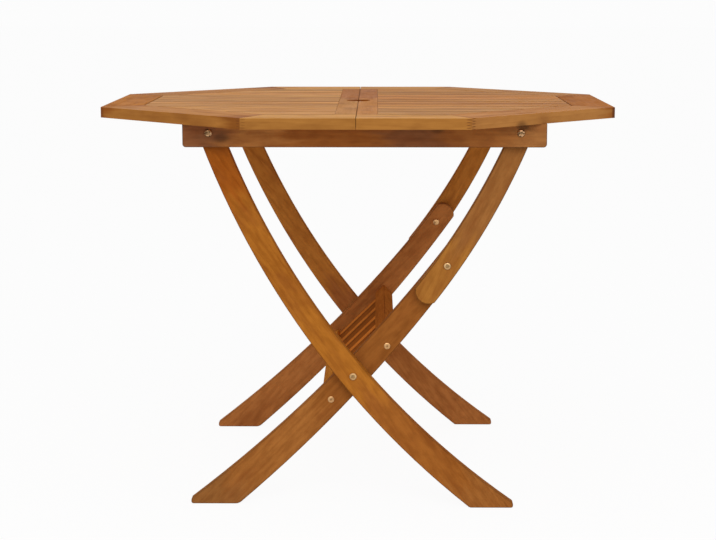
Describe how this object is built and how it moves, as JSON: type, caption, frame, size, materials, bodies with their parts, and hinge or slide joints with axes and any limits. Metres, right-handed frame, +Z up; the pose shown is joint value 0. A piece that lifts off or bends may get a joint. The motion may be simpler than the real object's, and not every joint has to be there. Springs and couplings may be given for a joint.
{
  "type": "folding garden table",
  "caption": "Eight-sided slatted wooden garden table on crossed curved legs that fold up under the top, with a parasol hole in the middle.",
  "frame": {"origin": "on the floor, under the middle of the top", "axes": "+Z up, +X to the right along the rails with the knee bolts on the right, +Y to the back"},
  "size_m": [0.98, 0.98, 0.75],
  "materials": {
    "top_slat": "oiled",
    "top_frame": "oiled",
    "seam_board": "oiled",
    "rail": "oiled",
    "outer_leg": "oiled",
    "inner_leg": "oiled",
    "upper_link": "oiled",
    "brace_bar": "oiled",
    "brace_slat": "oiled",
    "fixing": "bright zinc"
  },
  "bodies": {
    "table_top": {"top_slat_left_1": "top_slat", "top_slat_left_2": "top_slat", "top_slat_left_3": "top_slat", "top_slat_left_4": "top_slat", "top_slat_left_5": "top_slat", "top_slat_left_6": "top_slat", "top_slat_left_7": "top_slat", "top_slat_left_8": "top_slat", "top_slat_left_9": "top_slat", "top_slat_left_10": "top_slat", "top_slat_left_11": "top_slat", "top_slat_right_1": "top_slat", "top_slat_right_2": "top_slat", "top_slat_right_3": "top_slat", "top_slat_right_4": "top_slat", "top_slat_right_5": "top_slat", "top_slat_right_6": "top_slat", "top_slat_right_7": "top_slat", "top_slat_right_8": "top_slat", "top_slat_right_9": "top_slat", "top_slat_right_10": "top_slat", "top_slat_right_11": "top_slat", "side_board_left": "top_frame", "side_board_right": "top_frame", "front_board_left": "top_frame", "front_board_right": "top_frame", "back_board_left": "top_frame", "back_board_right": "top_frame", "front_corner_board_left": "top_frame", "front_corner_board_right": "top_frame", "back_corner_board_left": "top_frame", "back_corner_board_right": "top_frame", "seam_board_left": "seam_board", "seam_board_right": "seam_board", "front_rail": "rail", "back_rail": "rail", "rail_pivot_bolts": "fixing", "rail_pivot_nuts": "fixing"},
    "outer_leg_front": {"outer_leg_front": "outer_leg"},
    "outer_leg_back": {"outer_leg_back": "outer_leg"},
    "inner_legs": {"inner_leg_front": "inner_leg", "inner_leg_back": "inner_leg", "upper_brace_bar": "brace_bar", "lower_brace_bar": "brace_bar", "brace_slat_1": "brace_slat", "brace_slat_2": "brace_slat", "brace_slat_3": "brace_slat", "brace_slat_4": "brace_slat", "brace_slat_5": "brace_slat", "brace_slat_6": "brace_slat", "crossing_bolts": "fixing", "crossing_nuts": "fixing", "knee_sleeve_nuts": "fixing", "brace_screws": "fixing"},
    "upper_link_front": {"upper_link_front": "upper_link", "knee_bolt_front": "fixing"},
    "upper_link_back": {"upper_link_back": "upper_link", "knee_bolt_back": "fixing"}
  },
  "joints": [
    {"name": "outer_leg_front_fold", "type": "hinge", "parent": "table_top", "child": "outer_leg_front", "pos_m": [-0.2705, 0, 0.713], "axis": [0, -1, 0], "range_deg": [0, 29.68]},
    {"name": "outer_leg_back_fold", "type": "hinge", "parent": "table_top", "child": "outer_leg_back", "pos_m": [-0.2705, 0, 0.713], "axis": [0, -1, 0], "range_deg": [0, 29.68]},
    {"name": "inner_legs_fold", "type": "hinge", "parent": "outer_leg_front", "child": "inner_legs", "pos_m": [-0.0068, 0, 0.25441], "axis": [0, 1, 0], "range_deg": [0, 72.6]},
    {"name": "upper_link_front_fold", "type": "hinge", "parent": "table_top", "child": "upper_link_front", "pos_m": [0.2995, 0, 0.713], "axis": [0, -1, 0], "range_deg": [0, 61.9]},
    {"name": "upper_link_back_fold", "type": "hinge", "parent": "table_top", "child": "upper_link_back", "pos_m": [0.2995, 0, 0.713], "axis": [0, -1, 0], "range_deg": [0, 61.9]}
  ],
  "couplings": [
    {"joint": "outer_leg_back_fold", "follows": "outer_leg_front_fold", "ratio": 1},
    {"joint": "inner_legs_fold", "follows": "outer_leg_front_fold", "ratio": 2.4449},
    {"joint": "upper_link_front_fold", "follows": "outer_leg_front_fold", "ratio": 2.0836},
    {"joint": "upper_link_back_fold", "follows": "outer_leg_front_fold", "ratio": 2.0836}
  ]
}
